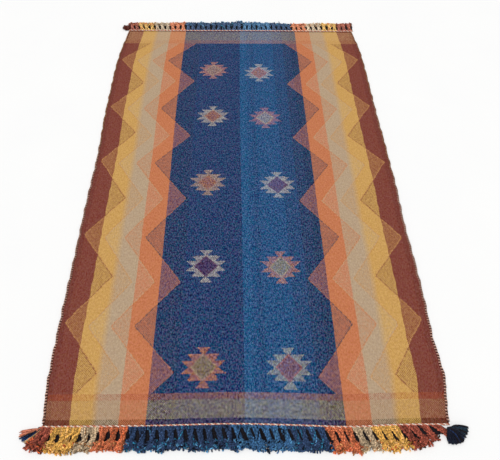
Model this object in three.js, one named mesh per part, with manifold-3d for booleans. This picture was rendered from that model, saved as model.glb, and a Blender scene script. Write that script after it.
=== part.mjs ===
// A flat-woven striped kilim laid out on a floor: one cloth, a twined cord along each end,
// a knotted fringe of warp bundles outside each cord, and loose tassels at three corners.
// Millimetres, +Z up. X runs across the rug and Y along it, from the near end to the far end.
// The origin is the middle of the cloth's underside, and everything rests on z = 0.

import * as THREE from 'three';
import { mergeVertices } from 'three/addons/utils/BufferGeometryUtils.js';
import Module from 'manifold-3d';

const wasm = await Module();
wasm.setup();

// Driving dimensions
const clearance = 0.3; // between neighbouring pieces
const crownShare = 0.62; // a lock's width at its top as a share of its foot
const cloth = { thickness: 3, sideSteps: 56, endSteps: 20 };
const cord = { left: -579, right: 580, halfWidth: 2.6, halfHeight: 2.2, waist: 0.55, turn: 19 };
const strip = { left: -577, right: 577, depth: 4, height: 3.4, steps: 24 };
const bundles = { perEnd: 44, rootIn: 1.5, leanJitter: 5, reachJitter: 4 };
const colours = { cloth: 0x2e4368, cord: 0xd08a70, fringe: 0x27466e };

// Side edges of the cloth: it draws in at both ends and wavers between them
const sides = [
  { y: -1005, left: -580, right: 581 },
  { y: -958, left: -583, right: 585 },
  { y: -911, left: -590, right: 594 },
  { y: -863, left: -595, right: 605 },
  { y: -747, left: -598, right: 600 },
  { y: -591, left: -601, right: 601 },
  { y: -415, left: -598, right: 602 },
  { y: -292, left: -599, right: 598 },
  { y: -75, left: -599, right: 606 },
  { y: 56, left: -597, right: 603 },
  { y: 173, left: -599, right: 603 },
  { y: 299, left: -606, right: 599 },
  { y: 490, left: -608, right: 600 },
  { y: 735, left: -605, right: 595 },
  { y: 838, left: -599, right: 590 },
  { y: 943, left: -587, right: 580 },
  { y: 1005, left: -580, right: 573 },
];

// Middle line of the end cords, which bow a little
const ends = [
  { x: -590, near: -996, far: 1000 },
  { x: -300, near: -997.5, far: 999 },
  { x: 0, near: -996, far: 1000.5 },
  { x: 155, near: -1002, far: 1001 },
  { x: 285, near: -1007.5, far: 1000 },
  { x: 450, near: -1003.5, far: 999 },
  { x: 590, near: -1004.5, far: 1000 },
];

// Fringes: how far the bundles lean towards +X, in degrees, and reach out from the end cord
const nearFringe = [
  { x: -568, lean: -16, reach: 58 },
  { x: -530, lean: -6, reach: 70 },
  { x: -460, lean: 2, reach: 73 },
  { x: -330, lean: 5, reach: 70 },
  { x: -150, lean: 16, reach: 74 },
  { x: 0, lean: 24, reach: 80 },
  { x: 250, lean: 26, reach: 71 },
  { x: 400, lean: 26, reach: 68 },
  { x: 470, lean: 34, reach: 60 },
  { x: 524, lean: 46, reach: 38 },
];
const farFringe = [
  { x: -562, lean: -3, reach: 64 },
  { x: -480, lean: -24, reach: 66 },
  { x: -300, lean: -8, reach: 72 },
  { x: 0, lean: 6, reach: 78 },
  { x: 150, lean: -6, reach: 68 },
  { x: 250, lean: 0, reach: 62 },
  { x: 390, lean: -14, reach: 68 },
  { x: 460, lean: 14, reach: 73 },
  { x: 520, lean: 6, reach: 66 },
  { x: 562, lean: 24, reach: 76 },
];

// One bundle along its length, as shares of its reach: a flat rope, then the knot, then its cut ends
const bundleRows = [
  { out: 0, width: 15, height: 2.8 },
  { out: 0.18, width: 16, height: 6 },
  { out: 0.48, width: 17, height: 6.5 },
  { out: 0.62, width: 29, height: 10 },
  { out: 0.82, width: 29, height: 8 },
  { out: 1, width: 21, height: 3 },
];

// Corner tassels: a knot at the end of a cord, and locks fanned about a heading, in degrees
const tasselKnot = [
  { out: 0, width: 4, height: 4 },
  { out: 8, width: 11, height: 8 },
  { out: 16, width: 11, height: 8 },
];
const tasselLock = [
  { out: 0, width: 0.5, height: 0.55 },
  { out: 0.6, width: 1, height: 1 },
  { out: 1, width: 0.7, height: 0.45 },
];
const tasselNeck = 11; // from the start of a tassel's knot to where its locks fan out
const tasselShortest = 0.88; // of its locks' full length
const tassels = [
  {
    name: 'tassel_near_left', x: -580, y: -997, heading: 200, spread: 24,
    length: 54, locks: 6, width: 9, height: 7, colour: 0xb5654a,
  },
  {
    name: 'tassel_near_right', x: 581, y: -1004.5, heading: -34, spread: 48,
    length: 52, locks: 8, width: 14, height: 11, colour: 0x1b2136,
  },
  {
    name: 'tassel_far_left', x: -581, y: 1002.5, heading: 122, spread: 16,
    length: 62, locks: 5, width: 11, height: 9, colour: 0x3b2329,
  },
];

// A column of a table as a smooth function of its position column
function column(table, position, value) {
  const curve = new THREE.CubicInterpolant(
    table.map((row) => row[position]),
    table.map((row) => row[value]),
    1,
  );
  return (at) => curve.evaluate(at)[0];
}

// A fixed, uneven number from -1 to 1 for a whole number
function uneven(index) {
  const wave = Math.sin(index * 127.1 + 11.7) * 43758.5453;
  return 2 * (wave - Math.floor(wave)) - 1;
}

function mix(from, to, share) {
  return from + (to - from) * share;
}

// Closed solid through a row of sections, whose points run anticlockwise seen from behind.
// The faces' diagonals run on from each point to the next one round in the next section.
function loft(sections) {
  const count = sections[0].length;
  const last = (sections.length - 1) * count;
  const positions = sections.flat().flatMap((point) => point.toArray());
  const index = [];
  for (let section = 0; section < sections.length - 1; section += 1) {
    for (let corner = 0; corner < count; corner += 1) {
      const next = (corner + 1) % count;
      const here = section * count;
      const there = here + count;
      index.push(here + corner, there + corner, there + next);
      index.push(here + corner, there + next, here + next);
    }
  }
  for (let corner = 1; corner < count - 1; corner += 1) {
    index.push(0, corner, corner + 1);
    index.push(last, last + corner + 1, last + corner);
  }
  const geometry = new THREE.BufferGeometry();
  geometry.setAttribute('position', new THREE.Float32BufferAttribute(positions, 3));
  geometry.setIndex(index);
  return geometry;
}

// Level direction at an angle from +X, and the direction to its right
function headingAt(degrees) {
  const angle = THREE.MathUtils.degToRad(degrees);
  return new THREE.Vector3(Math.cos(angle), Math.sin(angle), 0);
}

function rightOf(along) {
  return new THREE.Vector3(along.y, -along.x, 0);
}

// Four-sided lock lying on the floor: rows of a distance out from the root, a width and a height
function lock(root, along, right, rows) {
  const sections = rows.map((row) => {
    const middle = root.clone().addScaledVector(along, row.out);
    const corner = (side, height) => middle.clone().addScaledVector(right, side).setZ(height);
    const foot = row.width / 2;
    const crown = foot * crownShare;
    return [corner(-foot, 0), corner(foot, 0), corner(crown, row.height), corner(-crown, row.height)];
  });
  return loft(sections);
}

// Several closed geometries joined into one
function join(geometries) {
  const joined = geometries
    .map((geometry) => {
      const merged = mergeVertices(geometry);
      const mesh = new wasm.Mesh({
        numProp: 3,
        vertProperties: new Float32Array(merged.attributes.position.array),
        triVerts: new Uint32Array(merged.index.array),
      });
      return new wasm.Manifold(mesh);
    })
    .reduce((whole, piece) => whole.add(piece))
    .getMesh();
  const geometry = new THREE.BufferGeometry();
  geometry.setAttribute('position', new THREE.Float32BufferAttribute(joined.vertProperties, 3));
  geometry.setIndex(new THREE.Uint32BufferAttribute(joined.triVerts, 1));
  return geometry;
}

function mesh(name, geometry, colour) {
  geometry.computeVertexNormals();
  const material = new THREE.MeshStandardMaterial({ color: colour, roughness: 0.95, metalness: 0 });
  const piece = new THREE.Mesh(geometry, material);
  piece.name = name;
  return piece;
}

// Each end as its cord's middle line and the way out from the cloth along Y
const near = { line: column(ends, 'x', 'near'), out: -1 };
const far = { line: column(ends, 'x', 'far'), out: 1 };
const besideCord = cord.halfWidth + clearance;

// Points along one edge of the cloth, from its first corner up to its last
function edgePoints(steps, from, to, pointAt) {
  return Array.from({ length: steps }, (_, step) => pointAt(mix(from, to, step / steps)));
}

// The cloth: its uneven outline, as thick as two crossed yarns
function clothGeometry() {
  const left = column(sides, 'y', 'left');
  const right = column(sides, 'y', 'right');
  const endAt = (end, x) => end.line(x) - end.out * besideCord;
  const nearLeft = endAt(near, cord.left);
  const nearRight = endAt(near, cord.right);
  const farLeft = endAt(far, cord.left);
  const farRight = endAt(far, cord.right);
  const alongNear = (x) => new THREE.Vector2(x, endAt(near, x));
  const alongFar = (x) => new THREE.Vector2(x, endAt(far, x));
  const outline = [
    ...edgePoints(cloth.endSteps, left(nearLeft), right(nearRight), alongNear),
    ...edgePoints(cloth.sideSteps, nearRight, farRight, (y) => new THREE.Vector2(right(y), y)),
    ...edgePoints(cloth.endSteps, right(farRight), left(farLeft), alongFar),
    ...edgePoints(cloth.sideSteps, farLeft, nearLeft, (y) => new THREE.Vector2(left(y), y)),
  ];
  return new THREE.ExtrudeGeometry(new THREE.Shape(outline), {
    depth: cloth.thickness,
    bevelEnabled: false,
  });
}

// Two strands twined about each other: opposite corners of a four-sided section stand out
// by turns, a quarter of a turn further at each section
function cordGeometry(end) {
  const steps = Math.round((cord.right - cord.left) / (cord.turn / 4));
  const corners = [[1, -1], [-1, -1], [-1, 1], [1, 1]];
  const sections = [];
  for (let step = 0; step <= steps; step += 1) {
    const x = mix(cord.left, cord.right, step / steps);
    const section = corners.map(([side, rise], corner) => {
      const size = (corner + step) % 2 === 0 ? 1 : cord.waist;
      const y = end.line(x) + side * size * cord.halfWidth;
      return new THREE.Vector3(x, y, cord.halfHeight * (1 + rise * size));
    });
    sections.push(section);
  }
  return loft(sections);
}

// Narrow strip of wrapped warp ends outside the cord, the backing of the bundles
function stripGeometry(end) {
  const inner = end.out * besideCord;
  const outer = end.out * (besideCord + strip.depth);
  const left = Math.max(inner, outer);
  const right = Math.min(inner, outer);
  const sections = [];
  for (let step = 0; step <= strip.steps; step += 1) {
    const x = mix(strip.left, strip.right, step / strip.steps);
    const corner = (away, z) => new THREE.Vector3(x, end.line(x) + away, z);
    const top = strip.height;
    sections.push([corner(left, 0), corner(right, 0), corner(right, top), corner(left, top)]);
  }
  return loft(sections);
}

// A fringe: each bundle leaves the strip as a flat rope, thickens in a knot that meets
// its neighbours' and ends in cut yarn
function fringeGeometry(end, table, seed) {
  const leanAt = column(table, 'x', 'lean');
  const reachAt = column(table, 'x', 'reach');
  const acrossEnd = rightOf(headingAt(end.out * 90));
  const pieces = [stripGeometry(end)];
  for (let bundle = 0; bundle < bundles.perEnd; bundle += 1) {
    const x = mix(table[0].x, table[table.length - 1].x, bundle / (bundles.perEnd - 1));
    const lean = leanAt(x) + bundles.leanJitter * uneven(seed + bundle);
    const reach = reachAt(x) + bundles.reachJitter * uneven(seed + bundles.perEnd + bundle);
    const length = (reach - besideCord) / Math.cos(THREE.MathUtils.degToRad(lean));
    const root = new THREE.Vector3(x, end.line(x) + end.out * (besideCord + bundles.rootIn), 0);
    const rows = bundleRows.map((row) => ({ ...row, out: row.out * length }));
    pieces.push(lock(root, headingAt(end.out * (90 - lean)), acrossEnd, rows));
  }
  return join(pieces);
}

// A tassel: a knot and its locks, fanned evenly with uneven lengths
function tasselGeometry(tassel) {
  const root = new THREE.Vector3(tassel.x, tassel.y, 0);
  const along = headingAt(tassel.heading);
  const fanRoot = root.clone().addScaledVector(along, tasselNeck);
  const pieces = [lock(root, along, rightOf(along), tasselKnot)];
  for (let index = 0; index < tassel.locks; index += 1) {
    const share = (2 * index) / (tassel.locks - 1) - 1;
    const cut = mix(tasselShortest, 1, (1 + uneven(index + tassel.locks)) / 2);
    const length = (tassel.length - tasselNeck) * cut;
    const rows = tasselLock.map((row) => ({
      out: row.out * length,
      width: row.width * tassel.width,
      height: row.height * tassel.height,
    }));
    const fanned = headingAt(tassel.heading + share * tassel.spread);
    pieces.push(lock(fanRoot, fanned, rightOf(fanned), rows));
  }
  return join(pieces);
}

const kilim = new THREE.Group();
kilim.add(mesh('rug_cloth', clothGeometry(), colours.cloth));
kilim.add(mesh('end_cord_near', cordGeometry(near), colours.cord));
kilim.add(mesh('end_cord_far', cordGeometry(far), colours.cord));
kilim.add(mesh('fringe_near', fringeGeometry(near, nearFringe, 1), colours.fringe));
kilim.add(mesh('fringe_far', fringeGeometry(far, farFringe, 500), colours.fringe));
for (const tassel of tassels) {
  kilim.add(mesh(tassel.name, tasselGeometry(tassel), tassel.colour));
}

export default kilim;
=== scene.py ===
import math

import bpy
import numpy as np
from mathutils import Matrix


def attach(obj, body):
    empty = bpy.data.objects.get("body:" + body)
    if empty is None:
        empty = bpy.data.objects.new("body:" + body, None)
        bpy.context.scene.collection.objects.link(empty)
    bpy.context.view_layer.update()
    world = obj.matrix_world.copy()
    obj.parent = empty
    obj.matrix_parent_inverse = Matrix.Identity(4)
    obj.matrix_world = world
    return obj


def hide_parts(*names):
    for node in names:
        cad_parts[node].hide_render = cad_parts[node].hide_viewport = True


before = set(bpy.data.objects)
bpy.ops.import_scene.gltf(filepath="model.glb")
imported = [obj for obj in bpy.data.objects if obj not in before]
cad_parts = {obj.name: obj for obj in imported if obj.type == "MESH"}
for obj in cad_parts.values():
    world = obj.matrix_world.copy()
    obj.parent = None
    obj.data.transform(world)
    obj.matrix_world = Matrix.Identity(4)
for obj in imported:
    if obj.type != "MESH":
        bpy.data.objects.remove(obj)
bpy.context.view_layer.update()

# A flat-woven striped kilim on a pale floor. X runs across it, Y along it, Z up, in metres.
# Tables give sizes in millimetres, as a weaver would measure them.
mm = 0.001
chance = np.random.default_rng(41)
upright = np.array([0, 0, 1])

# Yarn dyes as linear colours
dyes = {
    "brown": (0.195, 0.054, 0.039),
    "deepBrown": (0.155, 0.042, 0.032),
    "yellow": (0.562, 0.340, 0.101),
    "beige": (0.412, 0.317, 0.216),
    "fawn": (0.462, 0.302, 0.182),
    "orange": (0.508, 0.175, 0.088),
    "navy": (0.0205, 0.0510, 0.158),
    "weftNavy": (0.021, 0.047, 0.074),
    "amber": (0.502, 0.174, 0.063),
    "gold": (0.500, 0.255, 0.090),
    "straw": (0.520, 0.295, 0.140),
    "olive": (0.398, 0.288, 0.076),
    "wheat": (0.460, 0.388, 0.205),
    "bronze": (0.380, 0.240, 0.009),
    "flame": (0.600, 0.205, 0.010),
    "poppy": (0.680, 0.227, 0.006),
    "ember": (0.470, 0.125, 0.010),
    "madder": (0.325, 0.092, 0.004),
    "tawny": (0.515, 0.185, 0.012),
    "salmon": (0.690, 0.275, 0.105),
    "plum": (0.076, 0.027, 0.004),
    "umber": (0.028, 0.014, 0.010),
    "soot": (0.012, 0.010, 0.013),
    "teal": (0.030, 0.150, 0.240),
    "sky": (0.095, 0.235, 0.375),
    "looseNavy": (0.040, 0.070, 0.138),
    "looseBlue": (0.052, 0.128, 0.238),
    "looseBrown": (0.290, 0.088, 0.060),
    "maroon": (0.110, 0.024, 0.014),
    "cream": (0.600, 0.500, 0.350),
    "sand": (0.640, 0.400, 0.180),
    "tan": (0.385, 0.215, 0.105),
    "hazel": (0.362, 0.183, 0.090),
    "brick": (0.350, 0.085, 0.035),
    "cinnamon": (0.420, 0.150, 0.006),
    "flax": (0.388, 0.302, 0.165),
    "rust": (0.440, 0.115, 0.045),
    "clay": (0.470, 0.235, 0.105),
    "coral": (0.600, 0.215, 0.135),
    "ink": (0.010, 0.013, 0.028),
    "white": (0.840, 0.680, 0.580),
    "blush": (0.640, 0.385, 0.295),
    "bark": (0.075, 0.024, 0.016),
}

# Side edges of the cloth: it draws in at both ends and wavers between them
sideRows = {
    "y": (-1005, -958, -911, -863, -747, -591, -415, -292, -75, 56, 173, 299, 490, 735, 838, 943, 1005),
    "left": (-578, -581, -588, -591, -594, -595, -595, -596, -596,
             -594, -596, -601, -602, -600, -593, -581, -575),
    "right": (580, 583, 593, 600, 595, 598, 598, 595, 600, 598, 598, 595, 594, 592, 588, 576, 569),
}

# Edges of the blue field, which the loom held straighter than the sides
fieldRows = {
    "y": (-1005, -400, 0, 500, 750, 1005),
    "left": (-286.5, -286.5, -289, -291, -287, -283),
    "right": (284, 280.5, 279, 277, 276, 275),
}

# Middle line of the end cords
endRows = {
    "x": (-590, -300, 0, 155, 285, 450, 590),
    "near": (-996, -997.5, -996, -1002, -1007.5, -1003.5, -1004.5),
    "far": (1000, 999, 1000.5, 1001, 1000, 999, 1000),
}
besideCord = 2.9  # from a cord's middle line to the cloth on one side and the fringe on the other


# Cubic through the rows of a table: each row's slope is the parabola's through it and its neighbours
def smoothColumn(table, key, value, at):
    known = np.asarray(table[key], float) * mm
    held = np.asarray(table[value], float) * mm
    slope = np.gradient(held, known)
    row = np.clip(np.searchsorted(known, at) - 1, 0, len(known) - 2)
    gap = known[row + 1] - known[row]
    t = np.clip((at - known[row]) / gap, 0, 1)
    rise = t * t * (3 - 2 * t)
    swell = (t - 2 * t * t + t**3) * slope[row] + (t**3 - t * t) * slope[row + 1]
    return held[row] * (1 - rise) + held[row + 1] * rise + gap * swell


# A straight line that is first at low and last at high
def stretched(value, low, high, first, last):
    return first + (value - low) * (last - first) / (high - low)


# A soft step: 0 below low, 1 above high, and t squared times (3 - 2t) between
def softStep(value, low, high):
    t = np.clip((value - low) / (high - low), 0, 1)
    return t * t * (3 - 2 * t)


# A fixed uneven number from -1 to 1 for each whole number: the broken part of a fast sine
def uneven(index):
    wave = np.sin(index * 127.1 + 11.7) * 43758.5453
    return 2 * (wave - np.floor(wave)) - 1


# Vectors brought to length 1
def unit(vectors):
    return vectors / np.maximum(np.linalg.norm(vectors, axis=-1, keepdims=True), 1e-12)


# Round sections carried along many paths at once. Each path's frame starts across its first step and
# is passed on, square to the path, from step to step. Even counts of sides close with quads.
def tubes(paths, radii, colours, sides):
    count, steps = paths.shape[:2]
    along = unit(np.gradient(paths, axis=1))
    held = np.eye(3)[np.argmin(np.abs(along[:, 0]), axis=1)]
    across = np.empty_like(paths)
    for step in range(steps):
        lean = np.sum(held * along[:, step], axis=1, keepdims=True)
        held = unit(held - lean * along[:, step])
        across[:, step] = held
    upward = np.cross(along, across)
    turn = 2 * math.pi * np.arange(sides) / sides
    ring = np.cos(turn)[:, None] * across[:, :, None] + np.sin(turn)[:, None] * upward[:, :, None]
    radii = np.broadcast_to(radii, (count, steps))
    points = paths[:, :, None] + radii[:, :, None, None] * ring
    first = np.arange(count)[:, None, None] * steps * sides
    rings = first + np.arange(steps - 1)[:, None] * sides
    here = rings + np.arange(sides)
    there = rings + (np.arange(sides) + 1) % sides
    walls = np.stack([here, there, there + sides, here + sides], -1).reshape(-1, 4)
    fan = np.array([[0, j, j + 1, j + 2] for j in range(1, sides - 2, 2)])
    caps = [(first + fan[:, ::-1]).reshape(-1, 4), (first + (steps - 1) * sides + fan).reshape(-1, 4)]
    # Ply map: once round across, and the length of yarn in radii along
    travel = np.linalg.norm(np.diff(paths, axis=1), axis=2)
    travel = np.concatenate([np.zeros((count, 1)), np.cumsum(travel, 1)], 1) / radii.max()
    turnLow = np.broadcast_to(np.arange(sides) / sides, (count, steps - 1, sides))
    turnHigh = turnLow + 1 / sides
    low = np.broadcast_to(travel[:, :-1, None], turnLow.shape)
    high = np.broadcast_to(travel[:, 1:, None], turnLow.shape)
    ply = np.stack([turnLow, low, turnHigh, low, turnHigh, high, turnLow, high], -1).reshape(-1, 4, 2)
    ply = np.concatenate([ply, np.full((len(caps[0]) + len(caps[1]), 4, 2), 0.5)])
    shade = np.asarray(colours, float).reshape(count, -1, 1, 3)
    return {
        "points": points.reshape(-1, 3),
        "quads": np.concatenate([walls, *caps]),
        "ply": ply,
        "dye": np.broadcast_to(shade, (count, steps, sides, 3)).reshape(-1, 3),
    }


# Several sets of tubes as one, the later ones' corner numbers moved past the earlier ones'
def gathered(parts):
    shift = np.cumsum([0] + [len(part["points"]) for part in parts[:-1]])
    whole = {key: np.concatenate([part[key] for part in parts]) for key in ("points", "ply", "dye")}
    whole["quads"] = np.concatenate([part["quads"] + move for part, move in zip(parts, shift)])
    return whole


# An object at the origin that holds a mesh, a lamp or a lens
def placed(name, data):
    held = bpy.data.objects.new(name, data)
    bpy.context.scene.collection.objects.link(held)
    return held


# A piece from whole arrays of corners, quads, maps and dye
def makePiece(name, points, quads, material, maps, dye=None):
    mesh = bpy.data.meshes.new(name)
    mesh.vertices.add(len(points))
    mesh.vertices.foreach_set("co", points.astype(np.float32).ravel())
    mesh.loops.add(quads.size)
    mesh.loops.foreach_set("vertex_index", quads.astype(np.int32).ravel())
    mesh.polygons.add(len(quads))
    mesh.polygons.foreach_set("loop_start", np.arange(0, quads.size, 4, dtype=np.int32))
    mesh.update(calc_edges=True)
    mesh.shade_smooth()
    for mapName, places in maps.items():
        layer = mesh.uv_layers.new(name=mapName)
        layer.uv.foreach_set("vector", places.astype(np.float32).ravel())
    if dye is not None:
        held = mesh.attributes.new("dye", "FLOAT_COLOR", "POINT")
        full = np.concatenate([dye, np.ones((len(dye), 1))], 1)
        held.data.foreach_set("color", full.astype(np.float32).ravel())
    mesh.validate()
    mesh.materials.append(material)
    piece = placed(name, mesh)
    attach(piece, "root")
    print(name, "has", 2 * len(quads), "triangles")
    return piece


# Node helpers: a socket takes a link from another socket, or else a plain value
def plug(socket, value):
    if isinstance(value, bpy.types.NodeSocket):
        socket.id_data.links.new(value, socket)
    else:
        socket.default_value = value


# A node of a kind, its inputs given by name or number. Where no tree is named, it joins its inputs' tree.
def addNode(kind, inputs, tree=None, **settings):
    if tree is None:
        tree = next(value.id_data for value in inputs.values() if isinstance(value, bpy.types.NodeSocket))
    node = tree.nodes.new("ShaderNode" + kind)
    for name, value in settings.items():
        setattr(node, name, value)
    for socket, value in inputs.items():
        plug(node.inputs[socket], value)
    return node


# A sum on numbers: a product, a sine, a comparison and so on
def maths(operation, *values, clamp=False):
    return addNode("Math", dict(enumerate(values)), operation=operation, use_clamp=clamp).outputs[0]


# The first times the second, plus the third
def scaled(*values, clamp=False):
    return maths("MULTIPLY_ADD", *values, clamp=clamp)


# The first times the second
def times(first, second):
    return maths("MULTIPLY", first, second)


# The first less the second
def minus(first, second):
    return maths("SUBTRACT", first, second)


# The same as maths on colours and places
def vectorMaths(operation, *values):
    return addNode("VectorMath", dict(enumerate(values)), operation=operation).outputs[0]


# One number giving way to another by a share
def between(share, first, second):
    return addNode("Mix", {0: share, 2: first, 3: second}).outputs[0]


# One colour giving way to another by a share
def blended(share, first, second, kind="MIX"):
    inputs = {0: share, 6: first, 7: second}
    node = addNode("Mix", inputs, data_type="RGBA", blend_type=kind)
    return node.outputs[2]


# Soft random waves, about as many to a metre as the scale says
def noise(place, scale, dimensions="2D", detail=1):
    inputs = {"Vector": place, "Scale": scale, "Detail": detail}
    return addNode("TexNoise", inputs, noise_dimensions=dimensions).outputs


# A dye as colour sockets take it
def paint(name):
    return (*dyes[name], 1)


matt = {"Specular IOR Level": 0.06, "Sheen Roughness": 0.6}


# A matt material, with its tree and its shader
def newMaterial(name, roughness, sheen):
    material = bpy.data.materials.new(name)
    material.use_nodes = True
    shader = material.node_tree.nodes["Principled BSDF"]
    for socket, value in {**matt, "Roughness": roughness, "Sheen Weight": sheen}.items():
        shader.inputs[socket].default_value = value
    return material, material.node_tree, shader


# Relief from a height, up to a depth in mm
def addRelief(shader, height, strength, depth):
    inputs = {"Strength": strength, "Distance": depth * mm, "Height": height}
    plug(shader.inputs["Normal"], addNode("Bump", inputs).outputs[0])


# The weave: a balanced plain weave of striped warp and zigzag weft
weave = {
    "pitch": 3.25,  # one thread to the next, both ways
    "weftCut": 0.21,  # the weft is on top where the crossing wave is above this, over a third of the cloth
    "looseness": 0.9,  # how far that height varies from crossing to crossing
    "jointCut": -0.45,  # the same height along a joint, where two wefts turn back round one warp
    "contrast": 0.55, "underShow": 0.15,  # hairy yarns: how much more weft shows on top than under
    "joint": 3.8, "jointShow": 0.14,  # half width of a joint, and how much more of its weft shows
    "blueEase": 0.45,  # how much less a joint crowds on blue warps
    "heartShow": 0.07,  # how much more of a star's heart shows
    "packed": 0.2,  # share of a joint's crowding in star outlines and in the end rows
    "wobble": 2.2, "wobbleScale": 38,  # how far threads stray from straight, and how often
    "middle": -5,  # the stripes mirror about this line
    "roughness": 0.92, "bump": 0.3, "relief": 0.7, "fibreScale": 900, "fibreHeight": 0.2,
}

# Stripes from the blue field out: how far from the middle line each starts and over what width its warps
# come in, its dyes, how far its weft runs out and in over that edge, and whose turns it takes.
# Pairs are for the left and the right.
stripes = (
    {"edge": (288, 285), "fade": 1, "warp": "orange", "weft": "amber",
     "out": (67.5, 66.5), "in": (71.5, 67.5), "turns": "inner"},
    {"edge": (368, 367), "fade": 1, "warp": "beige", "weft": "fawn",
     "out": (62, 65), "in": (64, 64), "turns": "inner"},
    {"edge": (443.5, 443.5), "fade": 22, "warp": "yellow", "weft": "gold",
     "out": (57.5, 59.5), "in": (62.5, 66.5), "turns": "inner"},
    {"edge": (515, 521.5), "fade": 1, "warp": "brown", "weft": "brown",
     "out": (62.5, 66), "in": (65.5, 66), "turns": "outer"},
)

# The outermost warps are a deeper brown: how far from the middle line they start
selvedge = {"edge": (572, 585), "warp": "deepBrown"}

# Zigzag turns from the far end to the near one, on the left and the right, inward and outward by turns
zigzagTurns = {
    "inner": (
        (895, 740, 579, 384, 206, 44, -147, -331, -520, -685, -843, -985),
        (895, 733, 556, 380, 192, 30, -160, -333, -513, -683, -858, -990),
    ),
    "outer": (
        (895, 750, 564, 395, 224, 60, -143, -318, -496, -668, -843, -985),
        (895, 752, 564, 402, 206, 47, -158, -335, -502, -668, -853, -990),
    ),
}

# Uneven dyeing: how strongly each kind varies, and how much of that multiplies, adds to or tints the dye
heather = {
    "speck": 2.6, "streak": 4.2, "patch": 11.6,  # by crossing, along each thread and in patches
    "streakScale": 55, "threadStep": 1.37, "patchScale": 230, "patchStretch": 0.55,
    "gain": 0.026, "lift": 0.005, "tint": (0.016, 0.010, 0.014),
    "blueGain": 0.077, "blueLift": 0.005, "blueTint": (0.075, 0.02, 0.04),  # more gain and lift on blue
    "calm": 0.55,  # how much of that goes where a stripe's weft runs over blue
    "darkest": (0.004, 0.004, 0.006),
}

# Blue warps dyed in lots: where each lot starts, and its dye
blueLots = (
    (-300, (0.023, 0.047, 0.134)),
    (-212, dyes["navy"]),
    (-9, (0.020, 0.109, 0.272)),
    (20, (0.020, 0.094, 0.247)),
    (40, (0.020, 0.082, 0.219)),
    (60, (0.020, 0.095, 0.249)),
    (155, (0.023, 0.0745, 0.201)),
    (208, (0.025, 0.056, 0.150)),
    (246, (0.020, 0.046, 0.124)),
)

# Weft bands across the ends: from, to, dye over the blue field and dye over the stripes
endBands = (
    (-1010, -982, "plum", "plum"),
    (-982, -927, "olive", "hazel"),
    (-927, -906, "cinnamon", "brick"),
    (885, 912.5, "clay", "clay"),
    (912.5, 988, "flax", "straw"),
    (988, 1010, "plum", "plum"),
)
halfRun = 1010  # the pattern reaches this far along from the middle, both ways

# Stars: middle across and along, then the dyes of their teeth, heart and heart's outline
stars = (
    (-136, 663, "salmon", "straw", "sand"),
    (-129.5, 331.5, "cream", "tawny", "sand"),
    (-141, -62.5, "sand", "tawny", "straw"),
    (-137.5, -457, "cream", "maroon", "brown"),
    (-134.5, -827, "poppy", "bronze", "yellow"),
    (82, 644, "cream", "tawny", "coral"),
    (100.5, 319, "orange", "beige", "sand"),
    (132, -77, "cream", "brown", "brown"),
    (123.5, -462, "flame", "olive", "yellow"),
    (127.5, -829, "wheat", "madder", "ember"),
)
# Half sizes of a star and of the diamond at its heart, whose outline starts at a share of the way out
starSize = {"across": 71, "along": 66.5, "heartAcross": 41.4, "heartAlong": 45.2, "outlineFrom": 0.85}
# Teeth: half the star's width at each height above its middle, as shares of its half sizes
starTeeth = ((0, 0.63), (0.332, 1), (0.337, 0.48), (0.634, 0.69), (0.66, 0.07), (1, 0.30))
rampShift = 1.0  # colour ramps hold nothing below 0, so a star's middle is moved up by this in them


# A curve through points by straight lines, read at a value from 0 to 1
def lineCurve(value, points):
    node = addNode("FloatCurve", {"Value": value})
    curve = node.mapping.curves[0]
    for _ in range(len(points) - 2):
        curve.points.new(0.5, 0.5)
    for point, place in zip(curve.points, sorted(points)):
        point.location = place
        point.handle_type = "VECTOR"
    node.mapping.update()
    return node.outputs[0]


# A value that jumps from colour to colour at given places from 0 to 1
def steppedRamp(value, stops):
    node = addNode("ValToRGB", {0: value})
    ramp = node.color_ramp
    ramp.interpolation = "CONSTANT"
    while len(ramp.elements) < len(stops):
        ramp.elements.new(0.5)
    for element, (place, colour) in zip(ramp.elements, sorted(stops)):
        element.position = place
        element.color = colour
    return node.outputs[0]


# Share of the way along the rug, from the near end to the far one
def shareAlong(y):
    return (y + halfRun) / (2 * halfRun)


# Zigzag points: 0 at each inward turn, which comes first, and 1 at each outward one
def zigzagPoints(turns):
    return [(0, 1), *((shareAlong(y), index % 2) for index, y in enumerate(turns)), (1, 0)]


# One length in mm on the left of the rug and another on the right
def sided(onRight, pair):
    left, right = pair
    return scaled(onRight, (right - left) * mm, left * mm)


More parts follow.
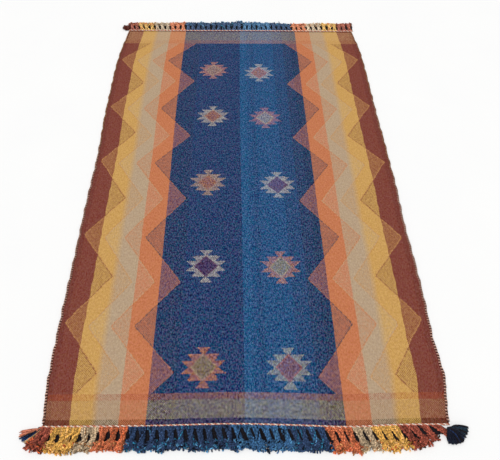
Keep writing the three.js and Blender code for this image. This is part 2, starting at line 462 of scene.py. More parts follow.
# Warp and weft colours by thread, and the wave sin(pi u / p) sin(pi v / p) that lifts one or the other
def weaveMaterial():
    material, tree, shader = newMaterial("flatWeave", weave["roughness"], 0)
    pitch = weave["pitch"] * mm
    half = (0.5, 0.5, 0.5)
    loom = addNode("UVMap", {}, tree, uv_map="loom").outputs[0]
    stray = vectorMaths("SUBTRACT", noise(loom, weave["wobbleScale"])["Color"], half)
    strayed = vectorMaths("MULTIPLY_ADD", stray, (weave["wobble"] * mm,) * 3, loom)
    places = addNode("SeparateXYZ", {0: strayed}).outputs
    threads = [maths("DIVIDE", place, pitch) for place in places[:2]]
    numbers = [maths("FLOOR", thread) for thread in threads]  # of the warp and the weft
    u, v = (times(maths("ADD", number, 0.5), pitch) for number in numbers)
    out = maths("ABSOLUTE", minus(u, weave["middle"] * mm))
    onRight = maths("GREATER_THAN", u, 0.0)
    along = scaled(v, 1 / (2 * halfRun * mm), 0.5)

    # Warp stripes
    edges = [sided(onRight, stripe["edge"]) for stripe in stripes]
    blue = maths("LESS_THAN", out, edges[0])
    warp = paint("navy")
    for start, lot in blueLots:
        warp = blended(maths("GREATER_THAN", u, start * mm), warp, (*lot, 1))
    for stripe, edge in zip(stripes, edges):
        share = scaled(minus(out, edge), 1 / (stripe["fade"] * mm), 0.5, clamp=True)
        warp = blended(share, warp, paint(stripe["warp"]))
    outmost = maths("GREATER_THAN", out, sided(onRight, selvedge["edge"]))
    warp = blended(outmost, warp, paint(selvedge["warp"]))

    # Weft stripes, each edge run out and in by its zigzag
    swings = {}
    for key, sides in zigzagTurns.items():
        swings[key] = between(onRight, *(lineCurve(along, zigzagPoints(turns)) for turns in sides))
    weft = paint("weftNavy")
    joint = 0.0
    overBlue = blue
    for stripe in stripes:
        edge, outward, inward = (np.array(stripe[key]) for key in ("edge", "out", "in"))
        inmost = sided(onRight, (edge - inward).tolist())
        whole = sided(onRight, (outward + inward).tolist())
        run = scaled(swings[stripe["turns"]], whole, inmost)
        beyond = minus(out, run)
        over = maths("GREATER_THAN", beyond, 0.0)
        weft = blended(over, weft, paint(stripe["weft"]))
        overBlue = scaled(times(over, overBlue), -heather["calm"], overBlue)
        joint = maths("MAXIMUM", joint, maths("COMPARE", beyond, 0.0, weave["joint"] * mm))
    joint = scaled(times(joint, blue), -weave["blueEase"], joint)
    for low, high, inner, outer in endBands:
        within = maths("COMPARE", v, (low + high) / 2 * mm, (high - low) / 2 * mm)
        weft = blended(within, weft, blended(blue, paint(outer), paint(inner)))
        joint = between(within, joint, weave["packed"] if inner == "plum" else 0.0)

    # Stars: the nearest star's middle and dyes, looked up by side and by height
    spot = scaled(along, 0.5, times(onRight, 0.5))
    stops = {"middle": [], "teeth": [], "heart": [], "outline": []}
    for side in range(2):
        column = sorted((star for star in stars if (star[0] > 0) == bool(side)), key=lambda star: star[1])
        floors = [-halfRun] + [(a[1] + b[1]) / 2 for a, b in zip(column, column[1:])]
        for low, (x, y, *names) in zip(floors, column):
            place = shareAlong(low) / 2 + side / 2
            stops["middle"].append((place, (x * mm + rampShift, y * mm + rampShift, 0, 1)))
            for key, name in zip(("teeth", "heart", "outline"), names):
                stops[key].append((place, paint(name)))
    found = {key: steppedRamp(spot, held) for key, held in stops.items()}
    middle = addNode("SeparateColor", {0: found["middle"]}).outputs
    offsets = (minus(thread, minus(place, rampShift)) for thread, place in zip((u, v), middle))
    starU, starV = (maths("ABSOLUTE", offset) for offset in offsets)
    tall = starSize["along"] * mm
    reach = lineCurve(maths("DIVIDE", starV, tall), starTeeth)
    inTeeth = maths("LESS_THAN", maths("DIVIDE", starU, starSize["across"] * mm), reach)
    inStar = times(inTeeth, maths("LESS_THAN", starV, tall))
    heartU = maths("DIVIDE", starU, starSize["heartAcross"] * mm)
    spread = scaled(starV, 1 / (starSize["heartAlong"] * mm), heartU)
    inOutline = maths("LESS_THAN", spread, 1.0)
    inHeart = maths("LESS_THAN", spread, starSize["outlineFrom"])
    for inside, key in ((inStar, "teeth"), (inOutline, "outline"), (inHeart, "heart")):
        weft = blended(inside, weft, found[key])
    edge = minus(inOutline, inHeart)

    # Which yarn lies on top
    crossing = addNode("CombineXYZ", dict(enumerate(numbers))).outputs[0]
    picked = addNode("TexWhiteNoise", {"Vector": crossing}, noise_dimensions="2D").outputs["Color"]
    picks = addNode("SeparateColor", {0: picked}).outputs
    wave = times(*(maths("SINE", times(thread, math.pi)) for thread in threads))
    crowd = scaled(edge, weave["packed"], joint)
    cut = scaled(crowd, weave["jointCut"] - weave["weftCut"], weave["weftCut"])
    loose = scaled(picks[0], weave["looseness"], -weave["looseness"] / 2)
    onTop = maths("GREATER_THAN", wave, maths("ADD", cut, loose))
    shown = scaled(onTop, weave["contrast"], weave["underShow"])
    shown = scaled(inOutline, weave["heartShow"], shown)
    shown = scaled(joint, weave["jointShow"], shown, clamp=True)
    colour = blended(shown, warp, weft)

    # Heather: depth of dye varies by crossing, along each thread and in patches, and most in the blues
    streaks = []
    for number, run in zip(numbers, (places[1], places[0])):
        inputs = {0: times(number, heather["threadStep"]), 1: times(run, heather["streakScale"])}
        place = addNode("CombineXYZ", inputs).outputs[0]
        streaks.append(noise(place, 1)["Color"])
    streak = blended(onTop, *streaks)
    drawn = vectorMaths("MULTIPLY", loom, (1, heather["patchStretch"], 1))
    patch = noise(drawn, heather["patchScale"])["Fac"]
    depth = 0.0
    for source, key in ((picks[1], "speck"), (streak, "streak"), (patch, "patch")):
        depth = maths("ADD", depth, scaled(source, heather[key], -heather[key] / 2))
    gain = scaled(overBlue, heather["blueGain"], heather["gain"])
    gain = scaled(depth, gain, 1.0)
    lift = scaled(overBlue, heather["blueLift"], heather["lift"])
    colour = vectorMaths("MULTIPLY_ADD", colour, gain, times(depth, lift))
    tint = blended(overBlue, (*heather["tint"], 1), (*heather["blueTint"], 1))
    colour = vectorMaths("MULTIPLY_ADD", vectorMaths("SUBTRACT", picked, half), tint, colour)
    colour = blended(1.0, colour, (*heather["darkest"], 1), "LIGHTEN")
    plug(shader.inputs["Base Color"], colour)

    # Relief: each crossing stands up as a small pillow, with loose fibres
    fibre = noise(loom, weave["fibreScale"])["Fac"]
    height = scaled(fibre, weave["fibreHeight"], maths("ABSOLUTE", wave))
    addRelief(shader, height, weave["bump"], weave["relief"])
    return material


wool = {
    "roughness": 0.9, "sheen": 0.03,
    "fibreScale": 360, "fibreDetail": 2, "fibreGain": 3.2, "fibreBase": -0.6, "leastDye": 0.3,
    # Painted shade and highlight: yarn colour darker in the grooves between plies, lighter on their crests
    "grooveShade": 0.62, "ridge": 0.45,  # light between the plies, and how much more on them
    "bump": 0.5, "fibreHeight": 0.5,
}


# Spun yarn: its dye attribute with heathered fibres, and plies as waves slanting round the yarn, with
# painted shade in the grooves between the plies and painted highlight on their crests
def yarnMaterial(name, plies, slant, depth):
    material, tree, shader = newMaterial(name, wool["roughness"], wool["sheen"])
    dye = addNode("Attribute", {}, tree, attribute_name="dye").outputs["Color"]
    place = addNode("TexCoord", {}, tree).outputs["Object"]
    ply = addNode("UVMap", {}, tree, uv_map="ply").outputs[0]
    parts = addNode("SeparateXYZ", {0: ply}).outputs
    slanting = scaled(parts[1], slant, times(parts[0], plies))
    ridge = maths("ABSOLUTE", maths("SINE", times(slanting, math.pi)))
    fibre = noise(place, wool["fibreScale"], "3D", wool["fibreDetail"])["Fac"]
    depthOfDye = scaled(fibre, wool["fibreGain"], wool["fibreBase"])
    shaded = vectorMaths("MULTIPLY", dye, maths("MAXIMUM", depthOfDye, wool["leastDye"]))
    # Painted shade in the grooves between plies, painted highlight on their crests
    grooveShade = scaled(ridge, wool["ridge"], wool["grooveShade"])
    plug(shader.inputs["Base Color"], vectorMaths("MULTIPLY", shaded, grooveShade))
    height = scaled(fibre, wool["fibreHeight"], ridge)
    addRelief(shader, height, wool["bump"], depth)
    return material


cloth = {
    "thickness": 3,
    "left": -599, "right": 603,  # loom widths at mid-length
    "fieldLeft": -290, "fieldRight": 279,
    "end": 997.1,
    "columns": 108, "rows": 178,
    "rim": (0, 1.2, 4), "rimSwell": (0.42, 0.86, 1), "underSwell": 0.4,  # rounded, in from the edge
    "endFade": 350,  # the ends' bow dies away this far in
    "ripple": 0.7, "rippleFade": (20, 160), "lastRipple": 0.6,
    "ripples": ((5.1, 2.3, 0.6), (-1.9, 7.7, 0), (4, 13, 1)),  # radians a metre both ways, and start
    "waver": 1.2, "waverFade": (10, 80), "waverLength": (83, 47), "shortWaver": 0.6,  # of the side edges
    "waverStart": {"left": (1, 0), "right": (4, 2)},
    "backMap": 0.995,  # the underside's map is drawn in, so that the rim has width too
}


# Even steps between two ends, with close ones at each rim
def rimmed(low, high, count, rim):
    inner = np.linspace(low + 2 * rim[-1], high - 2 * rim[-1], count)
    return np.concatenate([[low + step for step in rim], inner, [high - step for step in rim[::-1]]])


# 0 at the ends of the cloth to 1 further in, over a stretch in mm
def inFromEnds(v, stretch):
    return softStep(cloth["end"] * mm - np.abs(v), *(step * mm for step in stretch))


# Loom place to floor place: across, by straight lines between the wavering sides and the field's edges at
# that height; along, moved by the cords' bow, which fades inward
def onFloor(u, v):
    long, short = (2 * math.pi * v / (length * mm) for length in cloth["waverLength"])
    waver = cloth["waver"] * mm * inFromEnds(v, cloth["waverFade"])
    sides = {}
    for key, (first, second) in cloth["waverStart"].items():
        wave = np.sin(long + first) + cloth["shortWaver"] * np.sin(short + second)
        sides[key] = smoothColumn(sideRows, "y", key, v) + waver * wave
    fieldL = smoothColumn(fieldRows, "y", "left", v)
    fieldR = smoothColumn(fieldRows, "y", "right", v)
    keys = ("left", "fieldLeft", "fieldRight", "right")
    loomL, loomFL, loomFR, loomR = (cloth[key] * mm for key in keys)
    x = np.where(u < loomFL, stretched(u, loomL, loomFL, sides["left"], fieldL),
                 np.where(u > loomFR, stretched(u, loomFR, loomR, fieldR, sides["right"]),
                          stretched(u, loomFL, loomFR, fieldL, fieldR)))
    end = cloth["end"] * mm
    fade = cloth["endFade"] * mm
    nearBow = smoothColumn(endRows, "x", "near", x) + besideCord * mm + end
    farBow = smoothColumn(endRows, "x", "far", x) - besideCord * mm - end
    y = v + nearBow * softStep(-v, end - fade, end) + farBow * softStep(v, end - fade, end)
    return x, y


# The cloth: a closed sheet over the loom grid, its rim rounded, lifted by slow ripples that end at the
# cords. The ripples are one sine times another plus a third.
def makeCloth(material):
    rim = [step * mm for step in cloth["rim"]]
    end = cloth["end"] * mm
    u = rimmed(cloth["left"] * mm, cloth["right"] * mm, cloth["columns"], rim)
    v = rimmed(-end, end, cloth["rows"], rim)
    gridU, gridV = np.meshgrid(u, v)
    x, y = onFloor(gridU, gridV)
    inside = np.minimum.reduce([gridU - u[0], u[-1] - gridU, gridV - v[0], v[-1] - gridV])
    swell = np.interp(inside, rim, cloth["rimSwell"])
    thick = cloth["thickness"] * mm
    one, two, last = (np.sin(across * x + along * y + start) for across, along, start in cloth["ripples"])
    highest = 1 + cloth["lastRipple"]
    ripple = cloth["ripple"] * mm * (one * two + cloth["lastRipple"] * last + highest) / highest
    ripple = ripple * inFromEnds(gridV, cloth["rippleFade"])
    top = np.stack([x, y, ripple + thick * swell], -1)
    under = np.stack([x, y, ripple + thick * (1 - swell) * cloth["underSwell"]], -1)
    rows, columns = x.shape
    number = np.arange(rows * columns).reshape(rows, columns)
    below = number + rows * columns
    sheet = np.stack([number[:-1, :-1], number[:-1, 1:], number[1:, 1:], number[1:, :-1]], -1)
    sheet = sheet.reshape(-1, 4)
    walls = []
    for upper, lower in ((number[0], below[0]), (number[:, -1], below[:, -1]),
                         (number[-1, ::-1], below[-1, ::-1]), (number[::-1, 0], below[::-1, 0])):
        walls.append(np.stack([lower[:-1], lower[1:], upper[1:], upper[:-1]], -1))
    quads = np.concatenate([sheet, sheet[:, ::-1] + rows * columns, *walls])
    points = np.concatenate([top.reshape(-1, 3), under.reshape(-1, 3)])
    loom = np.tile(np.stack([gridU.ravel(), gridV.ravel()], 1), (2, 1))
    flat = (loom - loom.min(0)) / np.ptp(loom, axis=0)
    flat[rows * columns:] = 0.5 + cloth["backMap"] * (flat[rows * columns:] - 0.5)
    maps = {"loom": loom[quads], "OFBake": flat[quads]}
    piece = makePiece("rugCloth", points, quads, material, maps)
    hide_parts("rug_cloth")
    return piece


# A yarn piece from gathered tubes
def makeYarnPiece(name, parts, material):
    whole = gathered(parts)
    piece = makePiece(name, whole["points"], whole["quads"], material, {"ply": whole["ply"]}, whole["dye"])
    return piece


# Dye names to colours, each yarn a little lighter or darker than the next
def dyed(names, spread):
    colours = np.array([dyes[name] for name in names])
    return colours * (1 + spread * chance.uniform(-1, 1, (len(names), 1)))


edgeStitch = {
    "pitch": 9.0, "reach": 2.2, "rise": 1.7, "yarn": 1.9, "inset": 1.5, "short": 4, "stepsATurn": 12,
    "bunch": 1.5,  # how much of each turn's way along the edge is made underneath
    "sway": 0.2, "swayTurns": 0.37,  # some turns reach further out
    "dyes": (("bark", "brown"), ("blush", "tan")),  # of the two yarns, near and far
    "dyeChange": (-0.3, 0.5), "changeSway": 0.25, "changeWaves": 9,  # in metres along
}


# Overcast side edges: two yarns wound round each edge by turns, each a helix that goes nearly straight
# over the top and on underneath
def makeEdgeStitches(material):
    parts = []
    end = (cloth["end"] - edgeStitch["short"]) * mm
    pitch = edgeStitch["pitch"] * mm
    turns = int(2 * end / pitch)
    angle = np.linspace(0, 2 * math.pi * turns, turns * edgeStitch["stepsATurn"])
    height = (edgeStitch["rise"] + edgeStitch["yarn"]) * mm
    for side, u in ((-1, cloth["left"] * mm), (1, cloth["right"] * mm)):
        for yarn, (near, far) in enumerate(edgeStitch["dyes"]):
            v = pitch * ((angle + edgeStitch["bunch"] * np.cos(angle)) / (2 * math.pi) + yarn / 2) - end
            x, y = onFloor(np.full_like(v, u), v)
            sway = 1 + edgeStitch["sway"] * np.sin(angle * edgeStitch["swayTurns"] + side)
            reach = edgeStitch["reach"] * mm * sway
            x = x + side * (reach * np.cos(angle) - edgeStitch["inset"] * mm)
            z = height + edgeStitch["rise"] * mm * np.sin(angle)
            path = np.stack([x, y, z], -1)[None]
            change = v + edgeStitch["changeSway"] * np.sin(v * edgeStitch["changeWaves"] + side)
            lot = softStep(change, *edgeStitch["dyeChange"])[:, None]
            shade = np.array(dyes[near]) * (1 - lot) + np.array(dyes[far]) * lot
            parts.append(tubes(path, edgeStitch["yarn"] * mm, shade[None], sides=4))
    return makeYarnPiece("edgeStitches", parts, material)


cord = {
    "left": -579, "right": 580,
    "swing": 1.3, "turn": 18, "stepsATurn": 12,
    "coral": 1.9, "white": 1.8,  # radius of each yarn, by its dye
}


# End cord: two yarns wound about each other along the end of the cloth, as two helices half a turn apart
def makeEndCord(name, end, node, material):
    turns = (cord["right"] - cord["left"]) / cord["turn"]
    angle = np.linspace(0, 2 * math.pi * turns, int(turns * cord["stepsATurn"]))
    x = np.linspace(cord["left"], cord["right"], len(angle)) * mm
    line = smoothColumn(endRows, "x", end, x)
    base = (cord["swing"] + cord["coral"]) * mm
    swing = cord["swing"] * mm
    parts = []
    for phase, dye in ((0, "coral"), (math.pi, "white")):
        turn = angle + phase
        path = np.stack([x, line + swing * np.cos(turn), base + swing * np.sin(turn)], -1)
        parts.append(tubes(path[None], cord[dye] * mm, [dyes[dye]], sides=6))
    piece = makeYarnPiece(name, parts, material)
    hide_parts(node)
    return piece


# Fringes, each of bundles that are a rope, a knot and cut ends. Shares are of a bundle's length.
fringe = {
    "perEnd": 44, "leanJitter": 4, "reachJitter": 4, "tuck": 2, "fullReach": 60, "bendAt": (0.45, 0.95),
    "dyeGain": 1.32, "clear": 0.2,  # light of loose yarn, and the least gap to the floor
}
# Dyes along the fringes from the left
fringeDyes = ("looseBrown", "yellow", "beige", "orange", "looseNavy", "looseBlue",
              "looseNavy", "orange", "beige", "yellow", "looseBrown")
# Where bundles leave the cord by number, and by place how they lean, bend and reach, how their plies part
# and how wide their ropes are. Depth is the power that deepens or lightens their dyes, and starts are
# where each dye but the first begins.
nearFringe = {
    "name": "fringeNear", "node": "fringe_near", "end": "near", "out": -1, "seed": 1,
    "bundle": (0, 1, 2, 3, 5, 6, 7, 10, 41, 43),
    "root": (-572, -556, -540, -517, -481, -455, -432, -350, 470, 536),
    "x": (-572, -556, -540, -522, -460, -330, -150, 0, 250, 400, 447, 470, 503, 536),
    "lean": (-22, -12, 2, 0, 2, 5, 14, 20, 18, 24, 30, 34, 37, 52),
    "bend": (-8, -12, -12, -18, -20, -14, 0, 0, 0, 0, 0, 0, 0, 0),
    "reach": (64, 70, 72, 70, 70, 68, 71, 75, 70, 70, 65, 59, 46, 32),
    "part": (1, 1, 1, 1, 1, 0.7, 0.65, 0.62, 0.7, 0.95, 0.95, 0.9, 0.85, 0.85),
    "rope": (0.9, 0.9, 0.74, 0.68, 0.86, 0.86, 0.84, 0.82, 0.9, 0.98, 0.96, 0.92, 0.9, 0.9),
    "depth": 1.2, "starts": (-548, -466, -418, -337, -50, 120, 228, 305, 357, 434),
}
farFringe = {
    "name": "fringeFar", "node": "fringe_far", "end": "far", "out": 1, "seed": 500,
    "bundle": (0, 43), "root": (-562, 562),
    "x": (-562, -480, -300, -40, -13, 14, 150, 250, 390, 460, 520, 562),
    "lean": (-6, -14, -4, 4, 6, 6, -6, 0, -8, 10, 0, 4),
    "bend": (0,) * 12,
    "reach": (64, 66, 72, 76, 94, 77, 70, 58, 68, 73, 66, 74),
    "part": (0.5,) * 12,
    "rope": (0.8,) * 12,
    "depth": 0.89, "starts": (-520, -434, -370, -283, -10, 160, 268, 348, 425, 503),
}
# Yarns of other dyes that stray into each bundle; among the blues, the sky and teal yarns are lighter
# yarns that also stand in for painted highlights
strays = {
    "looseBrown": ("maroon", "rust", "plum"),
    "yellow": ("sand", "yellow", "rust"),
    "beige": ("cream", "clay", "tan"),
    "orange": ("coral", "rust", "clay"),
    # sky and teal yarns here are lighter yarns and also painted highlight on the blue fringe
    "looseNavy": ("teal", "sky", "ink"),
    "looseBlue": ("sky", "sky", "ink"),
}


# Bundles at places along one end: root, heading, direction to the right, length, fullness and dye, with
# straight lines between the table's rows. Jitter 1 makes leans and lengths uneven, and 0 leaves them even.
def layBundles(table, x, jitter):
    keys = ("lean", "reach", "bend", "part", "rope")
    lean, reach, bend, part, width = (np.interp(x, table["x"], table[key]) for key in keys)
    number = table["seed"] + np.arange(len(x))
    lean = np.radians(lean + jitter * fringe["leanJitter"] * uneven(number))
    reach = reach + jitter * fringe["reachJitter"] * uneven(number + len(x))
    out = table["out"]
    y = smoothColumn(endRows, "x", table["end"], x * mm) + out * (besideCord - fringe["tuck"]) * mm
    return {
        "out": out, "bend": bend, "part": part, "rope": width, "depth": table["depth"],
        "root": np.stack([x * mm, y, 0 * x], -1),
        "heading": np.stack([np.sin(lean), out * np.cos(lean), 0 * x], -1),
        "right": np.stack([np.cos(lean), -out * np.sin(lean), 0 * x], -1),
        "length": (reach - besideCord) * mm / np.cos(lean),
        "full": np.minimum(1, reach / fringe["fullReach"]),
        "dye": [fringeDyes[row] for row in np.searchsorted(table["starts"], x)],
    }


# Yarn dyes of a bundle, a few of them strays: loose yarn shows its dye deeper and brighter than the weave
def bundleDyes(bundles, each, strayShare, spread):
    names = []
    for dye in bundles["dye"]:
        picks = chance.random(each)
        kind = chance.integers(0, len(strays[dye]), each)
        names += [strays[dye][k] if pick < strayShare else dye for pick, k in zip(picks, kind)]
    return fringe["dyeGain"] * dyed(names, spread)**bundles["depth"]


# Bundle places to floor places: forward by the length, aside by the tip's bend, across by the right, along
# the cord by the slide, and up, all but the share in mm
def alongBundles(bundles, share, across, slide, rise):
    keys = ("root", "heading", "right", "length", "bend")
    root, heading, right, length, bend = (bundles[key][:, None, None] for key in keys)
    path = root + (share * length)[..., None] * heading + across[..., None] * mm * right
    path[..., 0] += (slide + bend * softStep(share, *fringe["bendAt"])) * mm
    path[..., 2] += rise * mm
    return path


rope = {
    "plies": 9, "steps": 28, "radius": 2.05, "jitter": 0.3, "jitterUp": 0.4,
    "turns": 1.0, "share": 0.80, "windAt": (0.25, 0.55), "rise": 3.2,
    "at": (0, 0.34, 0.52, 0.8, 1),  # shares along, for the next two
    "half": (11.2, 11.2, 7.4, 6.6, 8.6), "middle": (2.9, 4.6, 6.0, 6.3, 5.5),
    # nubs are painted lighter and the troughs between them darker: painted light and shade
    "nubs": 7, "nubShift": 0.7, "nubSwell": 0.22, "nubLightAndShade": 0.4,
    "dyes": (0.09, 0.45),  # share of strays, and how uneven the rest are
}


# Ropes: plies that leave the cloth side by side and wind into a flat rope, then into the knot. A sine
# along each ply swells and shifts it into nubs, with painted light on each nub and painted shade between.
def ropePlies(bundles):
    count, plies, steps = fringe["perEnd"], rope["plies"], rope["steps"]
    t = np.linspace(0, 1, steps)
    number = np.arange(plies)
    shape = t**bundles["part"][:, None, None]
    wind = softStep(shape, *rope["windAt"])
    half = np.interp(shape, rope["at"], rope["half"])
    half = half * (1 + (bundles["rope"][:, None, None] - 1) * wind)
    middle = np.interp(shape, rope["at"], rope["middle"])
    phase = 2 * math.pi * (rope["turns"] * t + number[:, None] / plies)
    across = half * wind * np.cos(phase)
    slide = half * (1 - wind) * np.linspace(-1, 1, plies)[:, None]
    rise = middle + wind * rope["rise"] * np.sin(phase)
    path = alongBundles(bundles, (t * rope["share"])[None, None], across, slide, rise)
    jitter = chance.normal(0, rope["jitter"] * mm, path.shape)
    path = path + jitter * np.array([1, 1, rope["jitterUp"]])
    nub = np.sin(2 * math.pi * (rope["nubs"] * t + chance.random((count, plies, 1))))
    path = path + rope["nubShift"] * mm * nub[..., None] * chance.normal(0, 1, (count, plies, 1, 3))
    radius = rope["radius"] * mm * (1 + rope["nubSwell"] * nub)
    path[..., 2] = np.maximum(path[..., 2], radius + fringe["clear"] * mm)
    flat = (count * plies, steps)
    shade = bundleDyes(bundles, plies, *rope["dyes"])[:, None]
    # Painted light on the nubs, painted shade in the troughs between them
    shade = shade * (1 + rope["nubLightAndShade"] * nub.reshape(*flat, 1))
    return tubes(path.reshape(*flat, 3), radius.reshape(flat), shade, sides=6)


# Painted shade: dark yarns under the ropes, so that the gaps between bundles read dark
gapShade = {
    "yarns": 400, "steps": 5, "radius": 2.0, "clear": 0.1, "share": 0.74,
    "past": 15, "spread": 0.4,  # how far it goes past the outer bundles, and how uneven its dye is
}


# Painted shade: dark yarns laid flat side by side under the ropes, leaning as they do
def gapShadeYarns(table):
    first, last = table["root"][0] - gapShade["past"], table["root"][-1] + gapShade["past"]
    yarns = layBundles(table, np.linspace(first, last, gapShade["yarns"]), 0)
    share = np.linspace(0, gapShade["share"], gapShade["steps"])[None, None]
    rise = 0 * share + gapShade["radius"] + gapShade["clear"]
    path = alongBundles(yarns, share, 0 * share, 0 * share, rise)[:, 0]
    # the dark soot yarns here are painted shade between the bundles
    return tubes(path, gapShade["radius"] * mm, dyed(["soot"] * len(path), gapShade["spread"]), sides=4)


knot = {
    "from": 0.69, "half": 9.5, "rise": 3.2, "yarn": 2.5, "turns": 2.5, "pitch": 6, "steps": 26,
    "uneven": 0.12, "back": 3, "dyes": (0.05, 0.15),
    "coils": ((0.35, 0.4, 0.0), (-0.3, 2.6, 4.5)),  # tilt, where the turns start, and how far on
}


# Knots: two yarns coiled round each bundle as flat helices, tilted against each other
def knotCoils(bundles):
    angle = np.linspace(0, 2 * math.pi * knot["turns"], knot["steps"])
    full = bundles["full"][:, None]
    coils = []
    for tilt, phase, shift in knot["coils"]:
        width = 1 + knot["uneven"] * chance.normal(0, 1, full.shape)
        swing = knot["half"] * full * width * np.cos(angle + phase)
        rise = knot["rise"] * full * (1 + np.sin(angle + phase)) + knot["yarn"]
        forward = knot["pitch"] * angle / (2 * math.pi) + tilt * swing + shift - knot["back"]
        share = knot["from"] + full * forward * mm / bundles["length"][:, None]
        path = alongBundles(bundles, share[:, None], swing[:, None], 0 * swing[:, None], rise[:, None])
        shade = bundleDyes(bundles, 1, *knot["dyes"])
        coils.append(tubes(path[:, 0], knot["yarn"] * mm, shade, sides=6))
    return coils


cutEnd = {
    "each": 70, "steps": 6, "length": (8, 15), "curl": (1.2, 3.0), "lift": (0.0, 1.1), "spread": 14.5,
    "radius": 2.3, "thick": (0.75, 1.15), "taperAt": (0, 0.8, 1), "taper": (1, 1, 0.7),
    "at": (0.64, 0.71, 0.86, 0.95), "ridge": (6, 9.5, 7.5, 2.5), "turn": (2.6, 2.4, 1.8, 1.0),
    "top": 17.5, "height": (0.3, 1),  # the highest, and where the ends spring from as shares of the ridge
    "bend": 0.8, "bendUp": 0.3, "back": 0.35,
    # shade: painted shade at each cut end's root and painted light at its tip
    "shade": (0.42, 1.45), "dyes": (0.36, 0.45),
}


# Cut ends: short yarns sprung from the ridge of knots, each an arc of a circle that curls over and down.
# Those that head back to the cord are turned aside. Each is painted darker at its root, as painted
# shade, and lighter at its tip, as painted light.
def cutYarns(bundles):
    each = cutEnd["each"]
    count = fringe["perEnd"] * each
    rows = np.repeat(np.arange(fringe["perEnd"]), each)
    heading, right, full = (bundles[key][rows] for key in ("heading", "right", "full"))
    bundleFull = bundles["full"][:, None, None]
    place = chance.uniform(cutEnd["at"][0], cutEnd["at"][-1], (fringe["perEnd"], 1, each))
    side = cutEnd["spread"] * chance.uniform(-1, 1, place.shape) * bundleFull
    height = np.interp(place, cutEnd["at"], cutEnd["ridge"])
    height = height * chance.uniform(*cutEnd["height"], place.shape) * bundleFull
    root = alongBundles(bundles, place, 0 * side, side, height).reshape(count, 3)
    turn = chance.normal(0, np.interp(place.ravel(), cutEnd["at"], cutEnd["turn"]))
    lift = chance.uniform(*cutEnd["lift"], count)
    way = np.cos(turn)[:, None] * heading + np.sin(turn)[:, None] * right
    way[:, 1] *= np.where(way[:, 1] * bundles["out"] < 0, cutEnd["back"], 1)
    way = np.cos(lift)[:, None] * unit(way) + np.sin(lift)[:, None] * upright
    bend = chance.normal(0, cutEnd["bend"], (count, 3)) * np.array([1, 1, cutEnd["bendUp"]]) - upright
    bend = unit(bend - np.sum(bend * way, 1, keepdims=True) * way)
    curl = chance.uniform(*cutEnd["curl"], count)
    bow = chance.uniform(*cutEnd["length"], count) * full * mm / curl
    t = np.linspace(0, 1, cutEnd["steps"])
    angle = curl[:, None] * t
    path = root[:, None] + bow[:, None, None] * (
        np.sin(angle)[:, :, None] * way[:, None] + (1 - np.cos(angle))[:, :, None] * bend[:, None])
    radius = cutEnd["radius"] * mm * chance.uniform(*cutEnd["thick"], (count, 1))
    radius = radius * np.interp(t, cutEnd["taperAt"], cutEnd["taper"])
    path[:, :, 2] = np.clip(path[:, :, 2], radius + fringe["clear"] * mm, cutEnd["top"] * mm)
    shade = bundleDyes(bundles, each, *cutEnd["dyes"])[:, None]
    # Painted shade at the root, painted light at the tip
    shade = shade * np.interp(t, [0, 1], cutEnd["shade"])[:, None]
    return tubes(path, radius, shade, sides=4)


# One end's fringe as two pieces: ropes with their knots and painted-shade yarns, and the cut ends
def makeFringe(table, material):
    bundles = layBundles(table, np.interp(np.arange(fringe["perEnd"]), table["bundle"], table["root"]), 1)
    ropes = [ropePlies(bundles), gapShadeYarns(table), *knotCoils(bundles)]
    roped = makeYarnPiece(table["name"] + "Ropes", ropes, material)
    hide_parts(table["node"])
    ends = makeYarnPiece(table["name"] + "CutEnds", [cutYarns(bundles)], material)
    return roped, ends


# Corner tassels: strands from a knot at the cord's end, fanned about a heading
tassels = (
    {"name": "tasselNearLeft", "node": "tassel_near_left", "slot": "tassel_mixed", "x": -578, "y": -1002,
     "heading": 205, "spread": 17, "length": 63, "lengths": (1, 1, 0.85), "strands": 70, "yarn": 1.15,
     "crown": 7, "neck": 3.5, "mixed": 0.35,
     "dyes": ("coral", "coral", "coral", "orange", "navy", "ink", "navy", "cream", "sand")},
    {"name": "tasselNearRight", "node": "tassel_near_right", "slot": "tassel_navy", "x": 571, "y": -1014,
     "heading": -46, "spread": 43, "length": 58, "lengths": (0.66, 0.95, 1), "strands": 260, "yarn": 1.3,
     "crown": 13, "neck": 8, "mixed": 4,
     "dyes": ("ink", "ink", "navy", "ink", "soot", "ink", "weftNavy", "ink", "soot")},
    {"name": "tasselFarLeft", "node": "tassel_far_left", "slot": "tassel_brown", "x": -579, "y": 1003,
     "heading": 126, "spread": 3, "length": 53, "lengths": (0.72, 1, 0.72), "strands": 110, "yarn": 1.2,
     "crown": 11, "neck": 15, "mixed": 2,
     "dyes": ("maroon", "brown", "umber", "maroon")},
)
# What all tassels share: how strands leave the neck, wave and arch, and the yarn that binds the neck
strand = {
    "steps": 9, "shareJitter": 0.06, "cut": (0.82, 1.0), "turnBy": 0.3, "spreadBy": 0.2, "dyeSpread": 0.3,
    "wave": 1.1, "waveTurn": 2.2 * math.pi, "waveStart": 6,
    "base": 2.2, "archAt": (0, 0.15, 0.5, 1), "arch": (0.35, 0.75, 1, 0.25),
    "taperAt": (0, 0.3, 0.9, 1), "taper": (0.8, 1, 1, 0.7),
}
binding = {
    "turns": 3, "steps": 44, "from": 9, "pitch": 1.6, "half": 4.6, "middle": 4.4, "rise": 3.2,
    "yarn": 1.1, "dyeSpread": 0.1,
}


